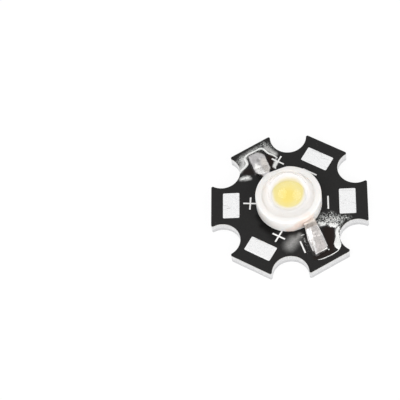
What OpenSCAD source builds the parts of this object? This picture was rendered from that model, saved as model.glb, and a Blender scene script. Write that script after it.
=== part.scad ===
// Power LED emitter on a six-armed aluminium-core star board.
// Millimetres, +Z up. The origin is the middle of the bare aluminium back face,
// and the +X arm points right with its minus sign.

/* [Star board] */
// Width of the star across two opposite arm ends
star_flats = 20; // [17:0.5:26]
// Diameter of the circle that the screw notch centres lie on
notch_pcd = 19.9; // [19.6:0.1:21.5]
// Radius of each screw notch
notch_r = 2.35; // [2:0.05:2.6]
// Rounding of the arm corners
corner_r = 0.2; // [0.1:0.05:0.4]
// Thickness of the aluminium core
core_t = 1.4; // [0.8:0.1:3]
// Thickness of the insulating film
film_t = 0.1; // [0.05:0.01:0.2]
// Thickness of the copper
copper_t = 0.07; // [0.035:0.005:0.14]
// Thickness of the solder mask over the copper
mask_t = 0.03; // [0.02:0.005:0.06]
// Distance from the board's edge to the copper
copper_margin = 0.65; // [0.4:0.05:0.75]
// Gap between two areas of copper
copper_gap = 0.5; // [0.3:0.05:0.8]
// Overlap of the mask on the rim of each pad
mask_lap = 0.15; // [0.05:0.05:0.2]

/* [Wire pads] */
// Radial length of a tinned wire pad
pad_l = 2.1; // [1.5:0.1:2.6]
// Distance from the arm end to the wire pad
pad_setback = 1.52; // [1.2:0.01:2]
// Rounding of the pad corners
pad_corner_r = 0.15; // [0.05:0.05:0.4]
// Thickness of the tin on a wire pad
tin_t = 0.05; // [0.02:0.01:0.1]

/* [Emitter] */
// Direction of the anode lead, counted from the right-hand arm
emitter_turn = 110; // [100:1:120]
// Diameter of the lens flange
lens_d = 6.8; // [6:0.1:7.4]
// Play of the lens in its seat
lens_play = 0.05; // [0.02:0.01:0.1]
// Width of the body's rim around the lens
rim_w = 0.75; // [0.6:0.05:1]
// Height of the body's underside over the mask
body_lift = 0.08; // [0.05:0.01:0.3]
// Height of the moulded body
body_h = 2.27; // [2.1:0.01:2.8]
// Rounding of the body's upper edge
body_edge_r = 0.22; // [0.1:0.02:0.35]
// Bevel of the body's lower edge
body_foot_bevel = 0.06; // [0.02:0.01:0.15]
// Depth of each flat that a lead leaves through
flat_cut = 0.28; // [0.16:0.02:0.4]
// Depth of the lens seat below the rim
seat_depth = 0.45; // [0.4:0.05:0.5]
// Thickness of the lens flange
flange_t = 0.35; // [0.25:0.05:0.4]
// Width of the flange outside the dome
flange_w = 0.6; // [0.5:0.05:0.9]
// Depth of the reflector dish below the lens seat
dish_depth = 0.2; // [0.1:0.05:0.3]
// Radius of the phosphor well
well_r = 1.4; // [1.25:0.05:1.7]
// Rise of the phosphor's domed top
phosphor_rise = 0.15; // [0.08:0.01:0.18]

/* [Heat slug and chip] */
// Diameter of the slug's base
slug_d = 5.8; // [5.4:0.1:6.2]
// Height of the slug's base
slug_base_h = 0.4; // [0.3:0.05:0.45]
// Height of the anchor groove round the slug
slug_groove_h = 0.1; // [0.08:0.01:0.15]
// Depth of the anchor groove round the slug
slug_groove = 0.6; // [0.3:0.05:0.8]
// Height of the slug's collar above the groove
slug_collar_h = 0.15; // [0.1:0.05:0.2]
// Depth of the step at the slug's collar
slug_step = 0.4; // [0.2:0.05:0.6]
// Width of the thermal land outside the slug
land_rim = 0.3; // [0.2:0.05:0.5]
// Thickness of the heat transfer compound
paste_t = 0.08; // [0.04:0.01:0.15]
// Side of the square chip
die_w = 1; // [0.8:0.05:1.1]
// Thickness of the chip
die_t = 0.15; // [0.1:0.01:0.2]
// Thickness of the bond layer under the chip
bond_t = 0.03; // [0.02:0.005:0.05]
// Reach of the bond layer past the chip
bond_lap = 0.05; // [0.02:0.01:0.08]
// Diameter of a bond wire
wire_d = 0.05; // [0.03:0.005:0.07]
// Distance from the chip's edges to the foot of a bond wire
wire_inset = 0.1; // [0.08:0.01:0.2]
// Distance from the lead tip's edges to the other end of a bond wire
wire_land = 0.1; // [0.06:0.01:0.15]

/* [Leads] */
// Thickness of the lead strip
lead_t = 0.35; // [0.25:0.05:0.4]
// Height of the lead's underside over the mask where it leaves the body
lead_rise = 1; // [0.9:0.05:1.1]
// Offset of the anode lead to the left of the emitter's middle line, seen looking outwards
anode_offset = 1.45; // [1.3:0.05:1.5]
// Offset of the cathode lead to the left of the emitter's middle line, seen looking outwards
cathode_offset = 1.2; // [1.1:0.05:1.4]
// Width of a lead inside the body
neck_w = 1.4; // [1.2:0.1:1.6]
// Width of the anode lead's waist where it leaves the body
anode_root_w = 0.95; // [0.8:0.05:1.2]
// Width of the cathode lead where it leaves the body
cathode_root_w = 1.5; // [1.45:0.05:1.8]
// Depth of a lead's root inside the body's wall
root_sunk = 0.3; // [0.2:0.05:0.5]
// Width of the soldered foot
foot_w = 2; // [1.8:0.1:2.2]
// Distance from the emitter's middle to the lead's inner tip
lead_inner = 0.75; // [0.65:0.05:0.85]
// Straight stub outside the body before the first bend
stub_l = 0.3; // [0.2:0.05:0.5]
// Slope of the ramp down to the board, in degrees
ramp_slope = 27; // [22:1:35]
// Inner radius of the two bends
bend_r = 0.3; // [0.15:0.05:0.4]
// Length of the flat foot
foot_l = 1.7; // [1.3:0.1:1.9]
// Diameter of the polarity hole in the anode lead's foot
polarity_d = 0.7; // [0.5:0.05:0.9]
// Distance from the foot's end to the middle of the polarity hole
polarity_setback = 0.65; // [0.55:0.05:0.9]

/* [Solder joints] */
// Thickness of solder between the pad and the foot
solder_t = 0.06; // [0.03:0.01:0.1]
// Solder fillet beside the foot
fillet_w = 0.16; // [0.1:0.02:0.24]
// Solder fillet past the foot's end
toe_l = 0.45; // [0.2:0.05:0.5]
// Distance from the body's flat to the solder's heel
heel_gap = 1.6; // [1.2:0.05:1.8]
// Height of the solder's edge on the pad
solder_lip = 0.05; // [0.03:0.01:0.1]
// Lean of the solder's side walls, in degrees
fillet_lean = 10; // [5:1:14]
// Depth of the solder in the polarity hole below the lead's face
dimple = 0.08; // [0.04:0.01:0.15]

/* [Hidden] */
$fn = 96;

arms = 6;
arm_pitch = 360 / arms;
sides = [-1, 1];

// Arms that carry a wire pad, counted from the right-hand arm
right_arm = 0;
rear_arm = 1;
left_arm = 3;
front_arm = 4;

// How far a cutting shape runs past the face that it cuts
past = 1;
// How far a corner's arc runs into its notch, so that the two cross
corner_bite = 0.005;

// Heights of the board's layers
film_z = core_t;
copper_z = film_z + film_t;
pad_z = copper_z + copper_t;
top_z = pad_z + mask_t;

// Wire pads lie between the notches, clear of the copper's edge
arm_half_w = notch_pcd / 2 * sin(arm_pitch / 2) - notch_r;
pad_w = 2 * (arm_half_w - copper_margin - mask_lap);
pad_at = star_flats / 2 - pad_setback - pad_l / 2;

// Emitter heights
slug_z = pad_z + paste_t;
groove_z = slug_z + slug_base_h;
collar_z = groove_z + slug_groove_h;
slug_top = collar_z + slug_collar_h;
body_z = top_z + body_lift;
rim_z = body_z + body_h;
seat_z = rim_z - seat_depth;
well_z = seat_z - dish_depth;
flange_z = seat_z + flange_t;
die_z = slug_top + bond_t;
die_top = die_z + die_t;
lead_z = top_z + lead_rise;
lead_top = lead_z + lead_t;
foot_z = pad_z + solder_t;
foot_top = foot_z + lead_t;

// Emitter radii
slug_r = slug_d / 2;
land_r = slug_r + land_rim;
seat_r = lens_d / 2 + lens_play;
body_r = seat_r + rim_w;
flat_x = body_r - flat_cut;
dome_r = lens_d / 2 - flange_w;
dish_r = dome_r;
phosphor_ball_r = (well_r * well_r + phosphor_rise * phosphor_rise) / (2 * phosphor_rise);
ball_steps = 480;

// Lead stations along the emitter's axis: the bends take the strip down by the ramp
outer_bend_r = bend_r + lead_t;
ramp_run = (lead_z - foot_z) / tan(ramp_slope);
ramp_x = flat_x + stub_l;
heel_x = ramp_x + ramp_run;
toe_x = heel_x + foot_l;
bend_steps = 6;

// Solder stations
solder_in = flat_x + heel_gap;
solder_out = toe_x + toe_l;
solder_w = foot_w + 2 * fillet_w;
polarity_x = toe_x - polarity_setback;

// Bond wire ends, from the chip's corner to the lead's inner tip
wire_from = [die_w / 2 - wire_inset, die_w / 2 - wire_inset];
function wire_to(offset) = [lead_inner + wire_land, offset - neck_w / 2 + wire_land];

// Plan of the star: a hexagon with a notch on each vertex and rounded arm corners
module star_plan(inset = 0) {
    half_flats = star_flats / 2 - inset;
    hollow_r = notch_r + inset;
    difference() {
        rotate(arm_pitch / 2) circle(r = half_flats / cos(arm_pitch / 2), $fn = arms);
        for (k = [0 : arms - 1]) {
            rotate((k + 0.5) * arm_pitch) notch_plan(hollow_r);
            for (side = [0, 1])
                rotate(k * arm_pitch) mirror([0, side]) corner_trim(half_flats, hollow_r);
        }
    }
}

// Screw notch: a round bottom, open straight outwards
module notch_plan(hollow_r) {
    translate([notch_pcd / 2, 0]) circle(r = hollow_r);
    translate([notch_pcd / 2, -hollow_r]) square([star_flats, 2 * hollow_r]);
}

// Waste outside the arc that joins an arm's end to its notch: to the notch's round bottom,
// or to its straight side where the arm is long
module corner_trim(half_flats, hollow_r) {
    out = [cos(arm_pitch / 2), sin(arm_pitch / 2)];
    across = [-out[1], out[0]];
    notch_at = notch_pcd / 2 * out;
    reach = hollow_r + corner_r - corner_bite;
    arc_x = half_flats - corner_r;
    past_bottom = (arc_x - notch_at[0] + reach * across[0]) / out[0];
    on_side = notch_at + past_bottom * out - reach * across;
    on_bottom = [arc_x, notch_at[1] - sqrt(reach * reach - pow(arc_x - notch_at[0], 2))];
    arc_at = past_bottom > 0 ? on_side : on_bottom;
    to_notch = past_bottom > 0 ? across : (notch_at - arc_at) / reach;
    meets_notch = arc_at + corner_r * to_notch;
    waste_x = half_flats + past;
    difference() {
        polygon([
            arc_at,
            [half_flats, arc_at[1]],
            [waste_x, arc_at[1]],
            [waste_x, waste_x * out[1] / out[0]],
            meets_notch
        ]);
        translate(arc_at) circle(r = corner_r);
    }
}

// Rectangle with true round corners, centred
module round_rect(l, w, r) {
    square([l - 2 * r, w], center = true);
    square([l, w - 2 * r], center = true);
    for (x = sides, y = sides)
        translate([x * (l / 2 - r), y * (w / 2 - r)]) circle(r = r);
}

// Flat plate of a plan, from one height to another
module layer(from_z, to_z) {
    translate([0, 0, from_z]) linear_extrude(to_z - from_z) children();
}

// Plan of the wire pad on an arm
module wire_pad_plan(arm) {
    rotate(arm * arm_pitch) translate([pad_at, 0]) round_rect(pad_l, pad_w, pad_corner_r);
}

// Plan of the soldered pad under a lead, in the emitter's own axes
module lead_pad_plan(offset) {
    translate([(solder_in + solder_out) / 2, offset])
        round_rect(solder_out - solder_in, solder_w, pad_corner_r);
}

// Turns the emitter's own axes to their place on the board, for the anode or the cathode side
module on_anode() {
    rotate(emitter_turn) children();
}

module on_cathode() {
    rotate(emitter_turn + 180) children();
}

// Half of the copper: the left arms carry plus, the right arms carry minus
module copper_half(side) {
    layer(copper_z, pad_z) difference() {
        intersection() {
            star_plan(copper_margin);
            translate([side * (copper_gap / 2 + star_flats / 2), 0])
                square([star_flats, 2 * star_flats], center = true);
        }
        circle(r = land_r + copper_gap);
    }
}

module wire_pad(arm) {
    color("gainsboro") layer(pad_z, pad_z + tin_t) wire_pad_plan(arm);
}

module base_plate() {
    color("silver") layer(0, film_z) star_plan();
}

module dielectric_layer() {
    color("ivory") layer(film_z, copper_z) star_plan();
}

module copper_anode() {
    color("peru") copper_half(-1);
}

module copper_cathode() {
    color("peru") copper_half(1);
}

module thermal_pad() {
    color("peru") layer(copper_z, pad_z) circle(r = land_r);
}

module solder_mask() {
    color([0.2, 0.19, 0.19]) difference() {
        layer(copper_z, top_z) star_plan();
        copper_half(-1);
        copper_half(1);
        layer(copper_z, pad_z) circle(r = land_r);
        layer(pad_z, top_z + past) {
            circle(r = land_r - mask_lap);
            for (arm = [right_arm, rear_arm, left_arm, front_arm]) wire_pad_plan(arm);
            on_anode() lead_pad_plan(anode_offset);
            on_cathode() lead_pad_plan(cathode_offset);
        }
    }
}

module plus_pad_left() {
    wire_pad(left_arm);
}

module plus_pad_front() {
    wire_pad(front_arm);
}

module minus_pad_right() {
    wire_pad(right_arm);
}

module minus_pad_rear() {
    wire_pad(rear_arm);
}

module thermal_paste() {
    color("lightgrey") layer(pad_z, slug_z) circle(r = slug_r);
}

// Half section of the slug: base, anchor groove and collar
module slug_section() {
    translate([0, slug_z]) square([slug_r, slug_base_h]);
    translate([0, groove_z]) square([slug_r - slug_groove, slug_groove_h]);
    translate([0, collar_z]) square([slug_r - slug_step, slug_collar_h]);
}

module heat_slug() {
    color("goldenrod") rotate_extrude() slug_section();
}

// Half section of the moulded body before the well and the dish are taken out
module body_section() {
    square_r = body_r - body_edge_r;
    difference() {
        union() {
            polygon([
                [0, body_z],
                [body_r - body_foot_bevel, body_z],
                [body_r, body_z + body_foot_bevel],
                [body_r, rim_z - body_edge_r],
                [square_r, rim_z - body_edge_r],
                [square_r, rim_z],
                [0, rim_z]
            ]);
            translate([square_r, rim_z - body_edge_r]) intersection() {
                circle(r = body_edge_r);
                square(body_edge_r);
            }
        }
        translate([0, seat_z]) square([seat_r, seat_depth + past]);
        polygon([[0, well_z], [well_r, well_z], [dish_r, seat_z], [0, seat_z]]);
        translate([0, slug_top]) square([well_r, well_z - slug_top]);
        slug_section();
    }
}

// Waste outside one of the body's flats
module flat_waste() {
    translate([flat_x, -body_r, body_z - past]) cube([body_r, 2 * body_r, body_h + 2 * past]);
}

module emitter_body() {
    color("whitesmoke") difference() {
        rotate_extrude() body_section();
        on_anode() {
            flat_waste();
            anode_strip();
        }
        on_cathode() {
            flat_waste();
            cathode_strip();
        }
    }
}

// Points on a bend of the strip's side view
function bend_arc(centre, r, from, to) =
    [for (i = [0 : bend_steps]) let (a = from + (to - from) * i / bend_steps)
        centre + r * [cos(a), sin(a)]];

// Side view of the strip: straight root, bend down, ramp, bend up, flat foot
module lead_side() {
    upper = [ramp_x - bend_r * tan(ramp_slope / 2), lead_z - bend_r];
    lower = [heel_x + outer_bend_r * tan(ramp_slope / 2), foot_z + outer_bend_r];
    polygon(concat(
        [[lead_inner, lead_z], [lead_inner, lead_top]],
        bend_arc(upper, outer_bend_r, 90, 90 - ramp_slope),
        bend_arc(lower, bend_r, 270 - ramp_slope, 270),
        [[toe_x, foot_top], [toe_x, foot_z]],
        bend_arc(lower, outer_bend_r, 270, 270 - ramp_slope),
        bend_arc(upper, bend_r, 90 - ramp_slope, 90)
    ));
}

// Plan of the strip: neck inside the body, then a root that widens along the ramp to the foot
module lead_plan(root_w) {
    root_x = flat_x - root_sunk;
    polygon([
        [lead_inner, -neck_w / 2],
        [root_x, -neck_w / 2],
        [root_x, -root_w / 2],
        [ramp_x, -root_w / 2],
        [heel_x, -foot_w / 2],
        [toe_x, -foot_w / 2],
        [toe_x, foot_w / 2],
        [heel_x, foot_w / 2],
        [ramp_x, root_w / 2],
        [root_x, root_w / 2],
        [root_x, neck_w / 2],
        [lead_inner, neck_w / 2]
    ]);
}

// Bent strip, in the emitter's own axes
module lead_strip(offset, root_w) {
    translate([0, offset, 0]) intersection() {
        translate([0, foot_w, 0]) rotate([90, 0, 0]) linear_extrude(2 * foot_w) lead_side();
        layer(0, lead_top + past) lead_plan(root_w);
    }
}

module anode_strip() {
    lead_strip(anode_offset, anode_root_w);
}

module cathode_strip() {
    lead_strip(cathode_offset, cathode_root_w);
}

module anode_lead() {
    color("silver") on_anode() difference() {
        anode_strip();
        translate([polarity_x, anode_offset, 0]) cylinder(d = polarity_d, h = lead_top);
    }
}

module cathode_lead() {
    color("silver") on_cathode() cathode_strip();
}

// Solder under and around a lead, which is its child, in the emitter's own axes
module solder_block(offset) {
    difference() {
        intersection() {
            layer(pad_z, lead_top) lead_pad_plan(offset);
            translate([0, offset + solder_w, 0]) rotate([90, 0, 0])
                linear_extrude(2 * solder_w) solder_side();
            translate([0, offset, 0]) rotate([90, 0, 90])
                linear_extrude(solder_out + past) solder_front();
        }
        children();
    }
}

// Side view of the solder: it follows the middle of the strip, with a sloping heel and toe
module solder_side() {
    mid = lead_t / 2;
    lip_z = pad_z + solder_lip;
    heel_up = solder_in + (lead_z - lip_z) * tan(fillet_lean);
    climb = (heel_x - heel_up) * tan(ramp_slope);
    polygon([
        [solder_in - past, pad_z],
        [solder_in - past, lip_z],
        [solder_in, lip_z],
        [heel_up, foot_z + mid + climb],
        [heel_x, foot_z + mid],
        [toe_x, foot_z + mid],
        [solder_out, lip_z],
        [solder_out + past, lip_z],
        [solder_out + past, pad_z]
    ]);
}

// Front view of the solder: its walls lean in above the edge on the pad
module solder_front() {
    half_w = solder_w / 2;
    lip_z = pad_z + solder_lip;
    top_half_w = half_w - (lead_top - lip_z) * tan(fillet_lean);
    polygon([
        [-half_w - past, pad_z],
        [-half_w - past, lip_z],
        [-half_w, lip_z],
        [-top_half_w, lead_top],
        [top_half_w, lead_top],
        [half_w, lip_z],
        [half_w + past, lip_z],
        [half_w + past, pad_z]
    ]);
}

module solder_joint_anode() {
    color("lightgrey") on_anode() {
        solder_block(anode_offset) anode_strip();
        layer(pad_z, foot_top - dimple) translate([polarity_x, anode_offset]) circle(d = polarity_d);
    }
}

module solder_joint_cathode() {
    color("lightgrey") on_cathode() solder_block(cathode_offset) cathode_strip();
}

module die_attach() {
    w = die_w + 2 * bond_lap;
    color("darkgrey") on_anode() layer(slug_top, die_z) square([w, w], center = true);
}

module led_die() {
    color("lightsteelblue") on_anode() layer(die_z, die_top) square([die_w, die_w], center = true);
}

// Wire that stands on the chip and loops over to the lead's inner tip, in the emitter's own axes
module bond_wire(offset) {
    across = wire_to(offset) - wire_from;
    loop_r = norm(across) / 2;
    translate([wire_from[0], wire_from[1], 0]) rotate(atan2(across[1], across[0])) {
        translate([0, 0, die_top]) cylinder(d = wire_d, h = lead_top - die_top);
        translate([loop_r, 0, lead_top]) rotate([90, 0, 0])
            rotate_extrude(angle = 180) translate([loop_r, 0]) circle(d = wire_d);
    }
}

module bond_wire_anode() {
    color("gold") on_anode() bond_wire(anode_offset);
}

module bond_wire_cathode() {
    color("gold") on_cathode() bond_wire(cathode_offset);
}

// Ball that the phosphor's domed top lies on
module phosphor_ball() {
    translate([0, 0, well_z + phosphor_rise - phosphor_ball_r])
        sphere(r = phosphor_ball_r, $fn = ball_steps);
}

module phosphor() {
    color("khaki") difference() {
        intersection() {
            layer(slug_top, well_z + phosphor_rise) circle(r = well_r);
            phosphor_ball();
        }
        die_attach();
        led_die();
        on_anode() {
            anode_strip();
            bond_wire(anode_offset);
        }
        on_cathode() {
            cathode_strip();
            bond_wire(cathode_offset);
        }
    }
}

module gel_fill() {
    color([0.9, 0.95, 1, 0.4]) difference() {
        translate([0, 0, well_z]) cylinder(r1 = well_r, r2 = dish_r, h = dish_depth);
        phosphor_ball();
    }
}

module lens() {
    color([0.9, 0.95, 1, 0.4]) {
        translate([0, 0, seat_z]) cylinder(d = lens_d, h = flange_t);
        intersection() {
            translate([0, 0, flange_z]) sphere(r = dome_r);
            translate([0, 0, flange_z]) cylinder(r = dome_r, h = dome_r);
        }
    }
}

base_plate();
dielectric_layer();
copper_anode();
copper_cathode();
thermal_pad();
solder_mask();
plus_pad_left();
plus_pad_front();
minus_pad_right();
minus_pad_rear();
thermal_paste();
heat_slug();
emitter_body();
anode_lead();
cathode_lead();
solder_joint_anode();
solder_joint_cathode();
die_attach();
led_die();
bond_wire_anode();
bond_wire_cathode();
phosphor();
gel_fill();
lens();
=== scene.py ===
import math
import random

import bmesh
import bpy
from mathutils import Matrix, Vector, noise


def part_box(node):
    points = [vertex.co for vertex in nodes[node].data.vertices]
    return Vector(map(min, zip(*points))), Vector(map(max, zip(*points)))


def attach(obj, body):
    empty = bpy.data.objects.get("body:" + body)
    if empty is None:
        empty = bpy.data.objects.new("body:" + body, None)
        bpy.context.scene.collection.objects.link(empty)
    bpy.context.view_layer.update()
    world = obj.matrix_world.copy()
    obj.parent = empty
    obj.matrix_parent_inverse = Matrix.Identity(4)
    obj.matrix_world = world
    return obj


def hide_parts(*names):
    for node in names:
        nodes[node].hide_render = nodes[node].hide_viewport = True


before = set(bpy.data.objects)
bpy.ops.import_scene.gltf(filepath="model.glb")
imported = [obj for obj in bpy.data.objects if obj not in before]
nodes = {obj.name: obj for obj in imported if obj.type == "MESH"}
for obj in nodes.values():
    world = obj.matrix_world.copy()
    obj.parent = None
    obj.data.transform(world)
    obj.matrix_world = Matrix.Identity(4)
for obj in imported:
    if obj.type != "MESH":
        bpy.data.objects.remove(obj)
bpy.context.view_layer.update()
mm = 0.001  # shapes are drawn in millimetres and put down in metres
merge = 0.0005  # mm, points that are closer than this become one
tiny = 0.000001  # keeps a line of no length from dividing by nothing
scene = bpy.context.scene
scene.view_settings.view_transform = "Standard"


def sizesOf(node):  # lowest and highest corner of a CAD node, in millimetres
    low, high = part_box(node)
    return low / mm, high / mm


boardTop = sizesOf("solder_mask")[1].z
bodyLow, bodyHigh = sizesOf("emitter_body")
lensLow, lensHigh = sizesOf("lens")
gelLow, gelHigh = sizesOf("gel_fill")
fillHigh = sizesOf("phosphor")[1]

# Leads: degrees from the right-hand arm, and mm to the left of the emitter's middle, looking outwards
leadTurns = {"anode": 110, "cathode": 290}
leadOffsets = {"anode": 1.45, "cathode": 1.2}


# Small makers for nodes

def setSocket(tree, socket, value):  # an output is linked, a plain value is set
    if isinstance(value, bpy.types.NodeSocket):
        tree.links.new(value, socket)
    elif value is not None:
        socket.default_value = value


def mathNode(tree, operation, first, second=None, clamp=False):
    node = tree.nodes.new("ShaderNodeMath")
    node.operation = operation
    node.use_clamp = clamp
    for socket, value in zip(node.inputs, (first, second)):
        setSocket(tree, socket, value)
    return node.outputs[0]


def vectorNode(tree, operation, first, second=None, scale=None):
    node = tree.nodes.new("ShaderNodeVectorMath")
    node.operation = operation
    for socket, value in ((0, first), (1, second), (3, scale)):
        setSocket(tree, node.inputs[socket], value)
    return node.outputs["Value" if operation in ("DOT_PRODUCT", "LENGTH") else "Vector"]


def times(tree, value, factor):
    return mathNode(tree, "MULTIPLY", value, factor)


def ramp(tree, value, low, high, lowTo=0.0, highTo=1.0):  # soft step from low to high
    node = tree.nodes.new("ShaderNodeMapRange")
    node.interpolation_type = "SMOOTHSTEP"
    for socket, given in zip(node.inputs, (value, low, high, lowTo, highTo)):
        setSocket(tree, socket, given)
    return node.outputs["Result"]


def mixShaders(tree, share, first, second):
    mix = tree.nodes.new("ShaderNodeMixShader")
    tree.links.new(share, mix.inputs[0])
    tree.links.new(first.outputs[0], mix.inputs[1])
    tree.links.new(second.outputs[0], mix.inputs[2])
    return mix


def anyOf(tree, *rays):  # 1 for any of these kinds of ray
    path = tree.nodes.new("ShaderNodeLightPath")
    found = path.outputs[rays[0]]
    for ray in rays[1:]:
        found = mathNode(tree, "MAXIMUM", found, path.outputs[ray])
    return found


# Camera, floor and light

shot = {
    "focal": 165.1,
    "sensor": 36,
    "clipStart": 0.01,  # m
    "elevation": 59.53,
    "azimuth": 9.89,
    "roll": -10.96,
    "target": (-11.61, 1.96, 0.0),
    "distance": 237.5,
}

studio = {
    "floorDrop": 0.02,  # mm under the back of the board
    "floorHalf": 600.0,  # mm
    "paper": (0.9, 0.9, 0.9),
    "floorGlow": (0.8, 1.055),  # share and strength of plain white in the floor that the camera meets
    # the room for diffuse light and in reflections: its level, how much brighter it is one way,
    # that way, and where along it the rise begins and ends
    "fill": (0.54, 1.2, (0.17, -0.98, 0.1), (0.3, 1.0)),
    "mirror": (0.62, 0.42, (-0.09, 0.5, 0.86), (0.5, 0.95)),
    "throughGlass": 1.25,  # the room as what lies under the lens meets it
    # degrees right and up of the camera, distance and width in mm, watts
    "softboxes": {
        "keyLeft": (-34, 6, 340, 300, 0.29),
        "keyRight": (42, -2, 340, 300, 0.25),
    },
}


def cameraAxes():
    elevation = math.radians(shot["elevation"])
    azimuth = math.radians(shot["azimuth"])
    back = Vector((
        math.sin(azimuth) * math.cos(elevation),
        -math.cos(azimuth) * math.cos(elevation),
        math.sin(elevation),
    ))
    level = Vector((0, 0, 1)).cross(back).normalized()
    roll = Matrix.Rotation(math.radians(shot["roll"]), 3, back)
    right = roll @ level
    return right, back.cross(right), back


def axesMatrix(right, up, back, place):
    turned = Matrix((right, up, back)).transposed().to_4x4()
    return Matrix.Translation(place * mm) @ turned


def setCamera():
    right, up, back = cameraAxes()
    lens = bpy.data.cameras.new("productCamera")
    lens.sensor_fit = "HORIZONTAL"
    lens.sensor_width = shot["sensor"]
    lens.lens = shot["focal"]
    lens.clip_start = shot["clipStart"]
    camera = bpy.data.objects.new("productCamera", lens)
    camera.matrix_world = axesMatrix(right, up, back, Vector(shot["target"]) + back * shot["distance"])
    scene.collection.objects.link(camera)
    scene.camera = camera


def setSoftbox(name, settings):
    turn, lift, away, side, watts = settings
    right, up, back = cameraAxes()
    way = Matrix.Rotation(math.radians(turn), 3, up) @ back
    way = Matrix.Rotation(math.radians(-lift), 3, right) @ way
    across = up.cross(way).normalized()
    lamp = bpy.data.lights.new(name, "AREA")
    lamp.shape = "DISK"
    lamp.size = side * mm
    lamp.energy = watts
    box = bpy.data.objects.new(name, lamp)
    box.matrix_world = axesMatrix(across, way.cross(across), way, way * away)
    scene.collection.objects.link(box)


def roomTowards(tree, level, more, way, rise):  # strength of a room that is brighter one way
    place = tree.nodes.new("ShaderNodeTexCoord")
    facing = vectorNode(tree, "DOT_PRODUCT", place.outputs["Generated"], tuple(Vector(way).normalized()))
    return ramp(tree, facing, *rise, level, level + more)


def setWorld():
    world = bpy.data.worlds.new("whiteRoom")
    scene.world = world
    world.use_nodes = True
    tree = world.node_tree
    tree.nodes.clear()
    rooms = {}
    for room in ("fill", "mirror", "throughGlass", "white"):
        rooms[room] = tree.nodes.new("ShaderNodeBackground")
        rooms[room].inputs["Color"].default_value = (1, 1, 1, 1)
    for room in ("fill", "mirror"):
        tree.links.new(roomTowards(tree, *studio[room]), rooms[room].inputs["Strength"])
    rooms["throughGlass"].inputs["Strength"].default_value = studio["throughGlass"]
    shown = rooms["fill"]
    for ray, room in (("Glossy", "mirror"), ("Transmission", "throughGlass"), ("Camera", "white")):
        shown = mixShaders(tree, anyOf(tree, "Is " + ray + " Ray"), shown, rooms[room])
    out = tree.nodes.new("ShaderNodeOutputWorld")
    tree.links.new(shown.outputs[0], out.inputs[0])


def setFloor():
    sheet = bmesh.new()
    bmesh.ops.create_grid(sheet, x_segments=4, y_segments=4, size=studio["floorHalf"] * mm)
    bmesh.ops.translate(sheet, vec=(0, 0, -studio["floorDrop"] * mm), verts=sheet.verts)
    mesh = bpy.data.meshes.new("floor")
    sheet.to_mesh(mesh)
    sheet.free()
    paper = bpy.data.materials.new("whitePaper")
    paper.use_nodes = True
    tree = paper.node_tree
    tree.nodes.clear()
    matte = tree.nodes.new("ShaderNodeBsdfDiffuse")
    matte.inputs["Color"].default_value = (*studio["paper"], 1)
    glow = tree.nodes.new("ShaderNodeEmission")
    share, glow.inputs["Strength"].default_value = studio["floorGlow"]
    seen = anyOf(tree, "Is Camera Ray", "Is Glossy Ray", "Is Transmission Ray")
    mix = mixShaders(tree, times(tree, seen, share), matte, glow)
    out = tree.nodes.new("ShaderNodeOutputMaterial")
    tree.links.new(mix.outputs[0], out.inputs[0])
    mesh.materials.append(paper)
    floor = bpy.data.objects.new("floor", mesh)
    scene.collection.objects.link(floor)


setCamera()
setWorld()
setFloor()
for softbox, softboxSettings in studio["softboxes"].items():
    setSoftbox(softbox, softboxSettings)
print("camera, floor and light are set")


# Shared shader groups: each reads Object coordinates and puts out a value that varies

def newGroup(name, inputs, outputs):
    tree = bpy.data.node_groups.new(name, "ShaderNodeTree")
    for socket, value in inputs.items():
        kind = "NodeSocketVector" if isinstance(value, tuple) else "NodeSocketFloat"
        tree.interface.new_socket(socket, in_out="INPUT", socket_type=kind).default_value = value
    for socket in outputs:
        tree.interface.new_socket(socket, in_out="OUTPUT", socket_type="NodeSocketFloat")
    return tree, tree.nodes.new("NodeGroupInput"), tree.nodes.new("NodeGroupOutput")


def inMillimetres(tree):  # Object coordinates in millimetres
    place = tree.nodes.new("ShaderNodeTexCoord")
    return vectorNode(tree, "SCALE", place.outputs["Object"], scale=1 / mm)


def makeGrain():  # fine even noise, in grains per millimetre
    tree, given, made = newGroup("fineGrain", {"Grains": 10.0, "Detail": 3.0}, ["Height"])
    cloud = tree.nodes.new("ShaderNodeTexNoise")
    tree.links.new(inMillimetres(tree), cloud.inputs["Vector"])
    tree.links.new(given.outputs["Grains"], cloud.inputs["Scale"])
    tree.links.new(given.outputs["Detail"], cloud.inputs["Detail"])
    tree.links.new(cloud.outputs[0], made.inputs["Height"])
    return tree


lineEdge = 0.08  # how softly the streaks' lines begin, as a share of the noise


def makeStreaks():  # noise drawn out along one way, for scratches, rolling lines and shear marks
    inputs = {"Stretch": (1.0, 1.0, 1.0), "Turn": 0.0, "Cover": 0.5}
    tree, given, made = newGroup("streaks", inputs, ["Height", "Lines"])
    turned = tree.nodes.new("ShaderNodeVectorRotate")
    turned.rotation_type = "Z_AXIS"
    tree.links.new(inMillimetres(tree), turned.inputs["Vector"])
    tree.links.new(given.outputs["Turn"], turned.inputs["Angle"])
    drawn = vectorNode(tree, "MULTIPLY", turned.outputs[0], given.outputs["Stretch"])
    cloud = tree.nodes.new("ShaderNodeTexNoise")
    cloud.inputs["Scale"].default_value = 1
    cloud.inputs["Detail"].default_value = 2
    tree.links.new(drawn, cloud.inputs["Vector"])
    edge = mathNode(tree, "ADD", given.outputs["Cover"], lineEdge)
    tree.links.new(cloud.outputs[0], made.inputs["Height"])
    tree.links.new(ramp(tree, cloud.outputs[0], given.outputs["Cover"], edge), made.inputs["Lines"])
    return tree


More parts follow.
